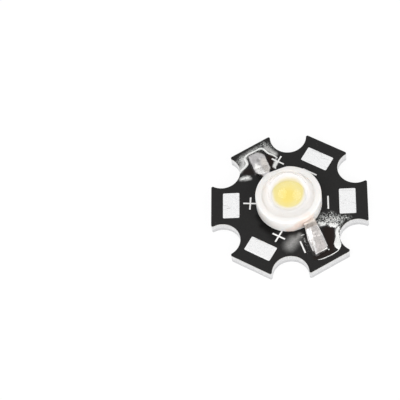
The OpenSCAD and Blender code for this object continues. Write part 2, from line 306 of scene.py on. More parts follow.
def makeSmear():  # 1 along a line from one point to another, falling off past its width, with a ragged edge
    middle = (0.0, 0.0, 0.0)
    inputs = {"From": middle, "To": middle, "Width": 1.0, "Soft": 0.5, "Rag": 0.3, "Rags": 2.0}
    tree, given, made = newGroup("smear", inputs, ["Mask"])
    place = inMillimetres(tree)
    cloud = tree.nodes.new("ShaderNodeTexNoise")
    cloud.inputs["Detail"].default_value = 4
    tree.links.new(place, cloud.inputs["Vector"])
    tree.links.new(given.outputs["Rags"], cloud.inputs["Scale"])
    shake = vectorNode(tree, "SUBTRACT", cloud.outputs["Color"], (0.5, 0.5, 0.5))
    moved = vectorNode(tree, "ADD", place, vectorNode(tree, "SCALE", shake, scale=given.outputs["Rag"]))
    fromStart = vectorNode(tree, "SUBTRACT", moved, given.outputs["From"])
    line = vectorNode(tree, "SUBTRACT", given.outputs["To"], given.outputs["From"])
    along = mathNode(
        tree,
        "DIVIDE",
        vectorNode(tree, "DOT_PRODUCT", fromStart, line),
        mathNode(tree, "ADD", vectorNode(tree, "DOT_PRODUCT", line, line), tiny),
        clamp=True,
    )
    off = vectorNode(tree, "SUBTRACT", fromStart, vectorNode(tree, "SCALE", line, scale=along))
    inside = mathNode(tree, "SUBTRACT", given.outputs["Width"], given.outputs["Soft"])
    outside = mathNode(tree, "ADD", given.outputs["Width"], given.outputs["Soft"])
    mask = ramp(tree, vectorNode(tree, "LENGTH", off), inside, outside, 1.0, 0.0)
    tree.links.new(mask, made.inputs["Mask"])
    return tree


grainGroup = makeGrain()
streakGroup = makeStreaks()
smearGroup = makeSmear()


# Small makers for materials

def newMaterial(name, color, roughness, metallic=0.0, **sockets):
    material = bpy.data.materials.new(name)
    material.use_nodes = True
    tree = material.node_tree
    shader = tree.nodes["Principled BSDF"]
    shader.inputs["Base Color"].default_value = (*color, 1)
    shader.inputs["Roughness"].default_value = roughness
    shader.inputs["Metallic"].default_value = metallic
    for socket, value in sockets.items():
        shader.inputs[socket.replace("_", " ")].default_value = value
    return material, tree, shader


def placeGroup(tree, group, output, **values):
    node = tree.nodes.new("ShaderNodeGroup")
    node.node_tree = group
    for socket, value in values.items():
        node.inputs[socket].default_value = value
    return node.outputs[output]


def grainOf(tree, grains, detail=3.0):
    return placeGroup(tree, grainGroup, "Height", Grains=grains, Detail=detail)


def mixColors(tree, share, first, second):
    node = tree.nodes.new("ShaderNodeMix")
    node.data_type = "RGBA"
    sockets = (node.inputs["Factor"], node.inputs[6], node.inputs[7])
    for socket, value in zip(sockets, (share, first, second)):
        setSocket(tree, socket, (*value, 1) if isinstance(value, tuple) else value)
    return node.outputs[2]


def bumpFrom(tree, shader, height, depth):  # depth in millimetres
    node = tree.nodes.new("ShaderNodeBump")
    node.inputs["Distance"].default_value = depth * mm
    tree.links.new(height, node.inputs["Height"])
    tree.links.new(node.outputs["Normal"], shader.inputs["Normal"])


def dress(tree, shader, color, roughness=None, height=None, depth=0):
    setSocket(tree, shader.inputs["Base Color"], color)
    setSocket(tree, shader.inputs["Roughness"], roughness)
    if depth:
        bumpFrom(tree, shader, height, depth)


noiseSpan = (0.3, 0.7)  # most of a noise lies between these


def spread(tree, value, low, high):  # a noise value spread from low to high
    return ramp(tree, value, *noiseSpan, low, high)


def mottle(tree, value, dark, light):  # two tones that follow a noise
    return mixColors(tree, spread(tree, value, 0, 1), dark, light)


# The strongest of several smears: from, to, width, soft, rag, strength. With a level, they are in plan
def smearsOf(tree, smears, level=None):
    total = None
    for start, end, width, soft, rag, strength in smears:
        if level is not None:
            start, end = (*start, level), (*end, level)
        mask = placeGroup(tree, smearGroup, "Mask", From=start, To=end, Width=width, Soft=soft, Rag=rag)
        mask = times(tree, mask, strength)
        total = mask if total is None else mathNode(tree, "MAXIMUM", total, mask)
    return total


def alongEmitter(place, turn):  # a point given along a lead, as it lies on the board
    angle = math.radians(turn)
    x, y, z = place
    return (x * math.cos(angle) - y * math.sin(angle), x * math.sin(angle) + y * math.cos(angle), z)


def patchesOn(tree, color, turn, patches):  # smears of other colors, given along a lead
    for start, end, width, soft, rag, strength, tone in patches:
        patch = (alongEmitter(start, turn), alongEmitter(end, turn), width, soft, rag, strength)
        color = mixColors(tree, smearsOf(tree, [patch]), color, tone)
    return color


# Materials

# The punch leaves a smooth bright band above and a broken, duller one below
punched = {
    "tones": ((0.68, 0.68, 0.69), (0.79, 0.79, 0.79)),
    "brokenTo": (0.7, 0.95),  # heights over which the broken band ends
    "wander": 0.5,  # how much that line wanders
    "brokenShare": 0.45,
    "brokenColor": (0.55, 0.55, 0.56),
    "rough": (0.24, 0.36),
    "brokenRough": 0.16,  # added in the broken band
    "bumps": 0.01,
}


def makeAluminium():
    material, tree, shader = newMaterial("punchedAluminium", (0.86, 0.86, 0.865), 0.34, 1.0)
    rolled = placeGroup(tree, streakGroup, "Height", Stretch=(0.35, 9.0, 2.0), Turn=0.9)
    sheared = placeGroup(tree, streakGroup, "Height", Stretch=(11.0, 11.0, 0.9))
    parts = tree.nodes.new("ShaderNodeSeparateXYZ")
    tree.links.new(inMillimetres(tree), parts.inputs[0])
    height = mathNode(tree, "ADD", parts.outputs["Z"], times(tree, sheared, punched["wander"]))
    broken = ramp(tree, height, *punched["brokenTo"], 1.0, 0.0)
    color = mottle(tree, rolled, *punched["tones"])
    color = mixColors(tree, times(tree, broken, punched["brokenShare"]), color, punched["brokenColor"])
    rough = spread(tree, sheared, *punched["rough"])
    rough = mathNode(tree, "ADD", rough, times(tree, broken, punched["brokenRough"]))
    dress(tree, shader, color, rough, mathNode(tree, "ADD", rolled, sheared), punched["bumps"])
    return material


# Burnt flux over the bare copper round the two joints
copperFlux = {
    "along": (5.2, 8.4),  # mm from the emitter's middle
    "smear": (1.6, 0.1, 0.1, 1.0),  # width, softness, ragged edge, strength
    "color": (0.014, 0.011, 0.01),
}


def makeCopper():
    material, tree, shader = newMaterial("copperFoil", (0.72, 0.42, 0.27), 0.35, 1.0)
    cloud = grainOf(tree, 1.5)
    smears = []
    for side, turn in leadTurns.items():
        ends = [alongEmitter((x, leadOffsets[side], boardTop), turn) for x in copperFlux["along"]]
        smears.append((*ends, *copperFlux["smear"]))
    burnt = smearsOf(tree, smears)
    color = mottle(tree, cloud, (0.66, 0.36, 0.22), (0.8, 0.48, 0.32))
    dress(tree, shader, mixColors(tree, burnt, color, copperFlux["color"]))
    tree.links.new(mathNode(tree, "SUBTRACT", 1.0, burnt, clamp=True), shader.inputs["Metallic"])
    return material


# Flux left on the mask, and a painted shadow round the foot of the emitter's body: from, to (mm on the
# board), width, softness, ragged edge, strength
fluxAndShadowOnMask = {
    "smooth": [
        ((-6.35, 5.2), (-5.85, 5.95), 0.3, 0.4, 0.2, 0.75),
        ((-5.85, 5.95), (-5.85, 6.8), 0.3, 0.4, 0.2, 0.75),
        ((-6.2, 6.6), (-5.6, 7.3), 0.25, 0.5, 0.2, 0.35),
        ((-5.2, 7.8), (-4.1, 8.35), 0.15, 0.35, 0.2, 0.32),
        ((-2.85, 8.4), (-1.75, 7.45), 0.28, 0.3, 0.25, 0.6),
        ((-2.1, 7.65), (-1.75, 7.45), 0.15, 0.2, 0.2, 0.8),
        ((-1.53, 6.93), (-1.75, 6.3), 0.1, 0.12, 0.15, 0.5),
        ((-1.6, 6.15), (-1.82, 5.62), 0.24, 0.12, 0.15, 1.0),
        ((-6.1, 3.86), (-5.0, 3.9), 0.2, 0.24, 0.45, 0.75),
        ((-5.75, 4.0), (-5.2, 4.08), 0.26, 0.22, 0.45, 0.85),
        ((5.98, -4.0), (5.95, -6.4), 0.2, 0.2, 0.2, 0.5),
        ((0.0, -6.15), (0.55, -5.45), 0.55, 0.75, 0.25, 0.36),
        ((0.7, -5.3), (1.25, -4.75), 0.3, 0.35, 0.2, 0.33),
        ((4.0, -3.3), (4.4, -3.2), 0.2, 0.3, 0.3, 0.6),
        ((5.2, -3.4), (5.9, -3.5), 0.16, 0.25, 0.3, 0.7),
    ],
    "speckled": [
        ((-6.1, 6.75), (-3.1, 8.85), 0.4, 0.42, 0.4, 0.5),
        ((-6.6, 6.1), (-6.2, 6.8), 0.3, 0.38, 0.4, 0.45),
        ((-3.2, 9.1), (-2.2, 8.5), 0.3, 0.4, 0.3, 0.4),
        ((3.7, -3.1), (4.6, -2.6), 0.45, 0.35, 0.5, 0.8),
        ((4.4, -2.4), (6.1, -2.6), 0.65, 0.4, 0.6, 0.6),
        ((5.3, -1.7), (5.5, -1.8), 0.3, 0.3, 0.5, 0.4),
        ((5.0, -3.2), (5.9, -3.4), 0.35, 0.25, 0.4, 0.9),
        ((6.3, -2.5), (7.5, -2.4), 0.3, 0.3, 0.5, 0.45),
        ((6.6, -3.0), (6.2, -3.75), 0.22, 0.2, 0.3, 0.7),
        ((1.6, -5.0), (1.9, -5.6), 0.1, 0.15, 0.6, 0.4),
    ],
    "wet": [
        ((4.9, -4.3), (4.8, -6.6), 0.7, 0.3, 0.3, 1.0),
        ((3.2, -8.0), (5.2, -7.3), 0.35, 0.2, 0.2, 0.8),
        ((-2.4, 7.0), (-2.2, 5.4), 0.4, 0.2, 0.2, 1.0),
        ((-5.5, 4.9), (-4.6, 5.0), 0.45, 0.2, 0.2, 0.8),
    ],
    # painted shadow: the mask painted near black round the lower left and front of the emitter's body
    "paintedShadow": [
        ((-4.0, -1.7), (-3.35, -3.05), 0.32, 0.3, 0.3, 0.9),
        ((-3.35, -3.05), (-2.2, -4.1), 0.5, 0.4, 0.3, 1.0),
        ((-2.3, -4.5), (-1.5, -5.4), 0.4, 0.45, 0.3, 0.6),
        ((-0.7, -4.55), (0.9, -4.4), 0.16, 0.14, 0.3, 0.8),
    ],
    "smoothColor": (0.88, 0.88, 0.86),
    "speckledColor": (0.7, 0.72, 0.7),
    "wetColor": (0.016, 0.01, 0.008),
    # colour of the painted shadow
    "paintedShadowColor": (0.003, 0.0027, 0.0025),
    "speckles": (0.44, 0.58),  # noise where a speckle begins, and where it is full
    "patches": (0.8, 1.1),  # how much the smooth flux varies
}

maskLook = {
    "tones": ((0.0175, 0.0172, 0.017), (0.0225, 0.022, 0.0218)),
    "rough": (0.36, 0.48),
    "wetSmooth": 0.28,  # taken off under wet flux
    "hazeRough": 0.3,  # added under dried flux
    "hazeHeight": 2.0,  # of dried flux, in grains
    "bumps": 0.006,
}


def makeMask():
    material, tree, shader = newMaterial("blackMask", (0.02, 0.0196, 0.0194), 0.42, Specular_IOR_Level=0.1)
    grain = grainOf(tree, 7.0, 4.0)
    specks = grainOf(tree, 5.5, 8.0)
    shares = {}
    # flux marks, and the painted shadow round the emitter's foot
    for mark in ("paintedShadow", "wet", "speckled", "smooth"):
        shares[mark] = smearsOf(tree, fluxAndShadowOnMask[mark], boardTop)
    covers = {
        "speckled": ramp(tree, specks, *fluxAndShadowOnMask["speckles"]),
        "smooth": spread(tree, specks, *fluxAndShadowOnMask["patches"]),
    }
    for mark, cover in covers.items():
        shares[mark] = mathNode(tree, "MULTIPLY", shares[mark], cover, clamp=True)
    haze = mathNode(tree, "MAXIMUM", shares["speckled"], shares["smooth"])
    color = mottle(tree, grain, *maskLook["tones"])
    for mark, share in shares.items():
        color = mixColors(tree, share, color, fluxAndShadowOnMask[mark + "Color"])
    rough = spread(tree, grain, *maskLook["rough"])
    rough = mathNode(tree, "SUBTRACT", rough, times(tree, shares["wet"], maskLook["wetSmooth"]))
    rough = mathNode(tree, "ADD", rough, times(tree, haze, maskLook["hazeRough"]), clamp=True)
    height = mathNode(tree, "ADD", grain, times(tree, haze, maskLook["hazeHeight"]))
    dress(tree, shader, color, rough, height, maskLook["bumps"])
    return material


# Marks on the tinned pads, smears as above
padMarks = {
    "level": 1.65,  # in the crown of the pads
    "smears": [
        ((-7.95, -0.45), (-7.6, -0.38), 0.06, 0.08, 0.15, 0.7),
        ((-7.4, 1.4), (-6.6, 0.95), 0.02, 0.04, 0.1, 0.45),
        ((-7.0, 1.0), (-6.6, 0.75), 0.02, 0.04, 0.1, 0.4),
        ((6.4, 1.5), (8.15, 1.48), 0.02, 0.04, 0.05, 0.5),
        ((6.55, 0.7), (6.6, 0.68), 0.04, 0.04, 0.1, 0.5),
        ((7.05, 0.12), (7.2, 0.1), 0.04, 0.05, 0.1, 0.6),
        ((4.3, 7.1), (4.35, 6.65), 0.05, 0.08, 0.2, 0.4),
        ((2.5, 7.45), (2.6, 7.35), 0.04, 0.05, 0.1, 0.4),
        ((-4.05, -6.91), (-3.95, -6.85), 0.04, 0.05, 0.1, 0.35),
    ],
    "color": (0.42, 0.4, 0.39),
}


tinLook = {
    "tones": ((0.81, 0.81, 0.815), (0.91, 0.91, 0.91)),
    "scratchShare": 0.5,
    "scratchColor": (0.5, 0.5, 0.5),
    "rough": (0.2, 0.4),
    "lumps": 3.0,  # height of the lumps, in crystals
    "bumps": 0.012,
}


def makeTin():
    material, tree, shader = newMaterial("levelledTin", (0.9, 0.9, 0.91), 0.28, 1.0)
    lumps = grainOf(tree, 0.9, 1.0)
    crystals = grainOf(tree, 6.0, 4.0)
    scratches = placeGroup(tree, streakGroup, "Lines", Stretch=(0.5, 7.0, 1.0), Turn=0.35, Cover=0.63)
    color = mottle(tree, crystals, *tinLook["tones"])
    color = mixColors(tree, times(tree, scratches, tinLook["scratchShare"]), color, tinLook["scratchColor"])
    color = mixColors(tree, smearsOf(tree, padMarks["smears"], padMarks["level"]), color, padMarks["color"])
    height = mathNode(tree, "ADD", times(tree, lumps, tinLook["lumps"]), crystals)
    height = mathNode(tree, "SUBTRACT", height, scratches)
    dress(tree, shader, color, spread(tree, crystals, *tinLook["rough"]), height, tinLook["bumps"])
    return material


plating = {"grains": 2.5, "detail": 5.0, "smoother": 0.08, "rougher": 0.1, "bumps": 0.01}


def makePlated(name, dark, light, roughness, burnsAndShade=None):
    material, tree, shader = newMaterial(name, light, roughness, 1.0)
    cloud = grainOf(tree, plating["grains"], plating["detail"])
    color = mottle(tree, cloud, dark, light)
    # burnt flux and painted shade on the leads' roots
    for side, patches in (burnsAndShade or {}).items():
        color = patchesOn(tree, color, leadTurns[side], patches)
    rough = spread(tree, cloud, roughness - plating["smoother"], roughness + plating["rougher"])
    dress(tree, shader, color, rough, cloud, plating["bumps"])
    return material


# Burnt flux on the leads' roots, and painted shade by the anode lead's root, patches as on the solder below
leadBurnsAndShade = {
    # painted shade: dark patch at the left of the anode lead's root, over the gap under it
    "anode": [((4.0, 2.0, 2.9), (4.6, 2.1, 2.8), 0.25, 0.12, 0.2, 0.95, (0.12, 0.1, 0.09))],
    "cathode": [
        ((4.6, 0.5, 2.9), (4.6, 1.9, 2.9), 0.42, 0.2, 0.4, 0.8, (0.36, 0.31, 0.27)),
        ((4.1, 0.6, 2.9), (4.1, 1.8, 2.9), 0.3, 0.15, 0.3, 0.85, (0.88, 0.81, 0.75)),
    ],
}


# Marks on the moulded body, real flux and soot stains along with painted shade and a painted glow: from,
# to, width, softness, ragged edge, strength
stainsAndPaintedLight = {
    # painted shade on the dish round the fill
    "shade": [((0, 0, 3.5), (0, 0, 3.55), 1.9, 0.5, 0.1, 0.45)],
    "shadeColor": (0.82, 0.79, 0.77),
    "flux": [
        ((0.2, -4.25, 2.0), (1.2, -3.95, 2.7), 0.6, 0.4, 0.5, 0.75),
        ((1.2, -3.95, 2.7), (2.6, -3.4, 3.3), 0.75, 0.4, 0.5, 0.85),
        ((2.6, -3.2, 3.9), (3.1, -2.9, 3.6), 0.25, 0.3, 0.3, 0.5),
    ],
    "fluxColor": (0.9, 0.73, 0.64),
    # the first is painted shade at the body's foot, where it meets the board; the second darkens the flat
    # round the cathode lead's root, brown like burnt flux
    "sootAndShade": [
        ((0.08, -4.33, 1.65), (0.2, -4.29, 1.7), 0.13, 0.05, 0.1, 1.0),
        ((2.1, -3.6, 2.8), (2.9, -3.3, 2.9), 0.3, 0.25, 0.7, 0.4),
    ],
    "sootAndShadeColor": (0.1, 0.08, 0.07),
    # painted glow: the fill's yellow painted onto the dish past the fill's rear edge
    "glow": [((0, 0.1, 3.4), (0, 0.34, 3.4), 1.24, 0.16, 0.15, 0.9)],
    "glowColor": (0.8, 0.67, 0.27),
}


def makeBodyPlastic():
    material, tree, shader = newMaterial(
        "whitePlastic", (0.955, 0.918, 0.89), 0.4,
        Subsurface_Weight=0.6, Subsurface_Scale=0.0007, Subsurface_Radius=(1.0, 0.92, 0.85),
    )
    grain = grainOf(tree, 11.0, 3.0)
    cloud = grainOf(tree, 0.8, 2.0)
    color = mottle(tree, cloud, (0.945, 0.9, 0.87), (0.965, 0.925, 0.9))
    # stains, with painted shade and a painted glow among them
    for mark in ("shade", "flux", "sootAndShade", "glow"):
        color = mixColors(tree, smearsOf(tree, stainsAndPaintedLight[mark]), color, stainsAndPaintedLight[mark + "Color"])
    dress(tree, shader, color, spread(tree, grain, 0.33, 0.47), grain, 0.004)
    return material


# Yellow of the fill: from, to, width, softness, ragged edge, strength
yolk = {
    "yellow": [((0, 0.12, 3.4), (0, 0.5, 3.4), 1.2, 0.16, 0.12, 1.0)],
    "deep": [((-0.12, -0.15, 3.45), (-0.02, 0.3, 3.45), 0.55, 0.5, 0.2, 1.0)],
    "deepColor": (0.77, 0.61, 0.135),
    "paleColor": (0.8, 0.76, 0.68),
}


def makePhosphor():
    material, tree, shader = newMaterial("yellowPhosphor", (0.95, 0.76, 0.22), 0.6)
    cloud = grainOf(tree, 2.2, 3.0)
    color = mottle(tree, cloud, (0.77, 0.655, 0.235), (0.77, 0.675, 0.29))
    color = mixColors(tree, smearsOf(tree, yolk["deep"]), color, yolk["deepColor"])
    dress(tree, shader, mixColors(tree, smearsOf(tree, yolk["yellow"]), yolk["paleColor"], color))
    return material


clear = {
    "ior": 1.46,
    "roughness": 0.05,
    "waves": 0.5,  # per mm
    "waveHeight": 0.004,
    "straight": 0.5,  # share of the light of lamps and room that isn't bent
}


def makeClear():
    material, tree, shader = newMaterial(
        "clearLens", (1, 1, 1), clear["roughness"], IOR=clear["ior"], Transmission_Weight=1.0
    )
    bumpFrom(tree, shader, grainOf(tree, clear["waves"], 0.0), clear["waveHeight"])
    # part of the light goes straight through, and the rest is bent onto what lies under the lens
    passing = tree.nodes.new("ShaderNodeBsdfTransparent")
    share = times(tree, anyOf(tree, "Is Shadow Ray"), clear["straight"])
    mix = mixShaders(tree, share, shader, passing)
    tree.links.new(mix.outputs[0], tree.nodes["Material Output"].inputs["Surface"])
    return material


# Patches that paint the solder duller or brighter: painted highlights, painted shade and painted
# reflections of the dark board, with burnt flux at the cathode lead's root: from, to (mm along and across
# the lead, height), width, softness, ragged edge, strength, color
solderPaintedLightAndFlux = {
    # anode: painted shade on the foot and over the hole, painted reflections of the dark board along its
    # sides, painted highlights on the ramp
    "anode": [
        ((6.9, 1.45, 2.0), (8.1, 1.45, 2.0), 1.15, 0.3, 0.3, 0.9, (0.45, 0.44, 0.445)),
        ((8.0, 2.3, 2.0), (7.2, 2.45, 2.0), 0.12, 0.12, 0.2, 0.5, (0.6, 0.59, 0.59)),
        ((7.9, 1.95, 2.0), (7.0, 2.15, 2.0), 0.07, 0.1, 0.2, 0.6, (0.36, 0.35, 0.355)),
        ((8.2, 1.6, 2.0), (7.6, 0.75, 2.0), 0.1, 0.1, 0.2, 0.55, (0.58, 0.58, 0.58)),
        ((6.2, 2.62, 2.0), (8.0, 2.62, 2.0), 0.16, 0.12, 0.1, 0.6, (0.3, 0.29, 0.3)),
        ((8.55, 1.0, 2.0), (8.0, 0.3, 2.0), 0.24, 0.1, 0.3, 0.95, (0.17, 0.165, 0.15)),
        ((8.0, 0.3, 2.0), (7.1, 0.2, 2.0), 0.16, 0.1, 0.2, 0.9, (0.17, 0.165, 0.15)),
        ((7.28, 1.5, 2.0), (7.3, 1.5, 2.0), 0.2, 0.1, 0.1, 0.85, (0.29, 0.285, 0.285)),
        ((6.9, 0.85, 2.0), (5.0, 1.0, 2.6), 0.45, 0.3, 0.2, 0.85, (0.69, 0.655, 0.61)),
        ((6.85, 1.97, 2.0), (6.0, 1.97, 2.2), 0.2, 0.2, 0.2, 0.9, (0.9, 0.89, 0.88)),
        ((6.2, 1.93, 2.1), (4.6, 1.8, 2.85), 0.42, 0.2, 0.2, 1.0, (1.0, 0.99, 0.97)),
        ((6.3, 1.38, 2.0), (4.9, 1.36, 2.65), 0.04, 0.08, 0.1, 0.6, (0.55, 0.52, 0.49)),
        ((6.3, 0.42, 2.0), (5.2, 0.72, 2.5), 0.04, 0.06, 0.2, 0.7, (0.95, 0.92, 0.88)),
    ],
    # cathode: painted shade and a few painted highlights on the right-hand face, painted highlights on the
    # left-hand face and along the tip's edges; the last patch is burnt flux at the root
    "cathode": [
        ((4.9, 1.6, 2.6), (8.1, 1.35, 2.1), 0.65, 0.2, 0.4, 0.9, (0.55, 0.52, 0.5)),
        ((6.0, 1.3, 2.4), (7.8, 0.95, 2.2), 0.09, 0.15, 0.3, 0.6, (0.8, 0.74, 0.74)),
        ((6.6, 1.75, 2.1), (7.9, 1.7, 2.1), 0.1, 0.15, 0.4, 0.6, (0.78, 0.7, 0.71)),
        ((7.4, 1.2, 2.1), (7.9, 1.45, 2.1), 0.12, 0.12, 0.4, 0.7, (0.8, 0.73, 0.74)),
        ((4.7, 0.75, 2.75), (7.0, 0.5, 2.2), 0.33, 0.14, 0.15, 1.0, (0.99, 0.97, 0.96)),
        ((7.0, 0.5, 2.2), (8.2, 0.32, 2.0), 0.22, 0.1, 0.1, 0.8, (0.95, 0.93, 0.91)),
        ((5.5, 1.05, 2.5), (6.6, 0.8, 2.3), 0.05, 0.08, 0.3, 0.7, (0.42, 0.39, 0.37)),
        ((7.0, 0.72, 2.2), (8.5, 0.25, 2.0), 0.06, 0.06, 0.05, 1.0, (1.0, 0.99, 0.98)),
        ((8.45, 0.3, 2.0), (8.12, 1.95, 2.0), 0.11, 0.06, 0.1, 1.0, (1.0, 0.99, 0.98)),
        ((4.6, 0.9, 2.8), (4.75, 1.8, 2.8), 0.2, 0.2, 0.4, 0.8, (0.4, 0.35, 0.32)),
    ],
}


solderMetal = {
    "tones": ((0.66, 0.64, 0.645), (0.86, 0.84, 0.845)),
    "dull": (0.5, 0.66),  # noise where a dull spot begins, and where it is full
    "dullShare": 0.5,
    "dullColor": (0.36, 0.33, 0.33),
    "rough": (0.22, 0.4),
    "lumps": 2.0,  # height of the lumps, in grains
    "bumps": 0.008,
}


def makeSolderMetal(side):
    material, tree, shader = newMaterial(side + "Solder", (0.78, 0.76, 0.765), 0.3, 1.0)
    cloud = grainOf(tree, 1.6, 3.0)
    grain = grainOf(tree, 8.0, 3.0)
    color = mottle(tree, cloud, *solderMetal["tones"])
    # painted highlights, shade and reflections, with burnt flux, over the solder
    color = patchesOn(tree, color, leadTurns[side], solderPaintedLightAndFlux[side])
    dull = ramp(tree, grainOf(tree, 4.5, 4.0), *solderMetal["dull"], 0.0, solderMetal["dullShare"])
    color = mixColors(tree, dull, color, solderMetal["dullColor"])
    height = mathNode(tree, "ADD", times(tree, cloud, solderMetal["lumps"]), grain)
    dress(tree, shader, color, spread(tree, cloud, *solderMetal["rough"]), height, solderMetal["bumps"])
    return material


# Plain materials of two tones: color, roughness, grains per mm, detail, tones, depth of the bumps
plain = {
    "insulatingFilm": ((0.62, 0.61, 0.57), 0.6, 9.0, 3.0, (0.5, 0.49, 0.45), (0.74, 0.73, 0.7), 0),
    "heatCompound": ((0.8, 0.8, 0.8), 0.7, 3.0, 3.0, (0.72, 0.72, 0.72), (0.86, 0.86, 0.86), 0.01),
    "fluxCrust": ((0.8, 0.82, 0.79), 0.4, 2.0, 5.0, (0.84, 0.86, 0.84), (0.98, 0.98, 0.96), 0.02),
    "whiteInk": ((0.93, 0.93, 0.92), 0.55, 12.0, 4.0, (0.86, 0.86, 0.85), (0.97, 0.97, 0.96), 0.004),
}


def makePlain(name):
    color, roughness, grains, detail, dark, light, depth = plain[name]
    material, tree, shader = newMaterial(name, color, roughness)
    cloud = grainOf(tree, grains, detail)
    dress(tree, shader, mottle(tree, cloud, dark, light), height=cloud, depth=depth)
    return material


aluminium = makeAluminium()
film = makePlain("insulatingFilm")
copper = makeCopper()
blackMask = makeMask()
tin = makeTin()
compound = makePlain("heatCompound")
slugMetal = makePlated("platedSlug", (0.7, 0.66, 0.6), (0.82, 0.78, 0.72), 0.3)
bodyPlastic = makeBodyPlastic()
leadMetal = makePlated("leadMetal", (0.52, 0.5, 0.5), (0.76, 0.74, 0.74), 0.32, leadBurnsAndShade)
solderMetals = {side: makeSolderMetal(side) for side in leadTurns}
fluxCrust = makePlain("fluxCrust")
dieBond = makePlated("dieBond", (0.55, 0.55, 0.55), (0.66, 0.66, 0.66), 0.5)
chip = makePlated("chip", (0.3, 0.36, 0.48), (0.42, 0.5, 0.62), 0.2)
gold = makePlated("goldWire", (0.85, 0.6, 0.2), (0.98, 0.78, 0.36), 0.2)
phosphor = makePhosphor()
clearLens = makeClear()
ink = makePlain("whiteInk")

finishes = {
    "base_plate": aluminium,
    "dielectric_layer": film,
    "copper_anode": copper,
    "copper_cathode": copper,
    "thermal_pad": copper,
    "solder_mask": blackMask,
    "thermal_paste": compound,
    "heat_slug": slugMetal,
    "die_attach": dieBond,
    "led_die": chip,
    "bond_wire_anode": gold,
    "bond_wire_cathode": gold,
}
for node, finish in finishes.items():
    nodes[node].data.materials.clear()
    nodes[node].data.materials.append(finish)
print("materials are made")


# Small makers for shapes

def newPiece(name, shape, material, *replaced, sharp=40):
    bmesh.ops.scale(shape, vec=(mm, mm, mm), verts=shape.verts)
    mesh = bpy.data.meshes.new(name)
    shape.to_mesh(mesh)
    shape.free()
    mesh.materials.append(material)
    for face in mesh.polygons:
        face.use_smooth = True
    mesh.set_sharp_from_angle(angle=math.radians(sharp))
    piece = bpy.data.objects.new(name, mesh)
    scene.collection.objects.link(piece)
    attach(piece, "root")
    if replaced:
        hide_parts(*replaced)
    return piece


def cadCopy(node):  # a merged copy of a CAD node's mesh, in millimetres
    shape = bmesh.new()
    shape.from_mesh(nodes[node].data)
    bmesh.ops.scale(shape, vec=(1 / mm, 1 / mm, 1 / mm), verts=shape.verts)
    bmesh.ops.remove_doubles(shape, verts=shape.verts, dist=merge)
    bmesh.ops.dissolve_limit(shape, angle_limit=math.radians(1), verts=shape.verts, edges=shape.edges)
    return shape


def sharpEdges(shape, degrees=40):
    limit = math.radians(degrees)
    return [edge for edge in shape.edges if edge.calc_face_angle(0) > limit]


def roundEdges(shape, edges, size, segments=3):
    bmesh.ops.bevel(
        shape, geom=edges, offset=size, offset_type="OFFSET", affect="EDGES",
        segments=segments, profile=0.5, material=-1, clamp_overlap=True,
    )


def wire(shape, points, closed=False):  # a chain of edges in the XZ plane, from (radius, height) points
    verts = [shape.verts.new((r, 0, z)) for r, z in points]
    pairs = list(zip(verts, verts[1:]))
    if closed:
        pairs.append((verts[-1], verts[0]))
    for pair in pairs:
        shape.edges.new(pair)
    return verts


def roundCorner(shape, vert, size, segments=6):
    bmesh.ops.bevel(
        shape, geom=[vert], offset=size, offset_type="OFFSET", affect="VERTICES",
        segments=segments, profile=0.5, material=-1,
    )


def lathe(shape, steps):
    bmesh.ops.spin(
        shape, geom=shape.verts[:] + shape.edges[:], cent=(0, 0, 0), axis=(0, 0, 1),
        dvec=(0, 0, 0), angle=math.tau, steps=steps, use_merge=True,
    )
    bmesh.ops.remove_doubles(shape, verts=shape.verts, dist=merge)
    bmesh.ops.recalc_face_normals(shape, faces=shape.faces)


def arc(shape, vert, height, angle, steps):  # swings a point of the outline round a point of the axis
    bmesh.ops.spin(
        shape, geom=[vert], cent=(0, 0, height), axis=(0, 1, 0), dvec=(0, 0, 0), angle=-angle, steps=steps,
    )


def turnTo(shape, degrees):
    turn = Matrix.Rotation(math.radians(degrees), 3, "Z")
    bmesh.ops.rotate(shape, cent=(0, 0, 0), matrix=turn, verts=shape.verts)


def vertsIn(found):
    return [item for item in found if isinstance(item, bmesh.types.BMVert)]


# Star core with its punched edge

core = {
    "burr": 0.07,
    "backTo": 0.01,  # edges under this height belong to the back
}


def makeCore():
    shape = cadCopy("base_plate")
    lowest = [edge for edge in sharpEdges(shape) if max(v.co.z for v in edge.verts) < core["backTo"]]
    roundEdges(shape, lowest, core["burr"])
    piece = newPiece("starCore", shape, aluminium, "base_plate")


# Tinned wire pads with a crowned face

pads = {
    "pieces": {
        "padPlusLeft": "plus_pad_left",
        "padPlusFront": "plus_pad_front",
        "padMinusRight": "minus_pad_right",
        "padMinusRear": "minus_pad_rear",
    },
    "crown": ((0.95, 0.014), (0.9, 0.012), (0.8, 0.01), (0.6, 0.006)),  # shrink and rise of each step
}


def makePad(name, node):
    shape = cadCopy(node)
    face = max(shape.faces, key=lambda f: f.normal.z * f.calc_area())
    for shrink, rise in pads["crown"]:
        face = bmesh.ops.extrude_discrete_faces(shape, faces=[face])["faces"][0]
        middle = Matrix.Translation(-face.calc_center_median())
        bmesh.ops.scale(shape, vec=(shrink, shrink, 1), space=middle, verts=face.verts)
        bmesh.ops.translate(shape, vec=(0, 0, rise), verts=face.verts)
    piece = newPiece(name, shape, tin, node)


makeCore()
for padName, padNode in pads["pieces"].items():
    makePad(padName, padNode)
print("board is dressed")


# Emitter: moulded body, lens and phosphor

emitter = {
    # flat that each lead leaves through: its distance, and where its outline begins, mm left and height
    "flats": {"anode": (3.92, 1.504, 1.74), "cathode": (4.1, 0.67, 1.682)},
    "steps": 144,
    "edgeRound": 0.22,
    "rimRound": 0.05,
    "footRound": 0.06,
    "seatPlay": -0.01,  # the flange sits a little into the seat's wall, so no dark gap shows
    "slugRadius": 2.9,
    "wellFoot": 2.3,
}


def beginAt(shape, face, place):  # its outline begins nearest to a place, so each run shades it the same
    corners = face.verts[:]
    first = min(range(len(corners)), key=lambda i: (corners[i].co - place).length)
    bmesh.ops.delete(shape, geom=[face], context="FACES_ONLY")
    shape.faces.new(corners[first:] + corners[:first])


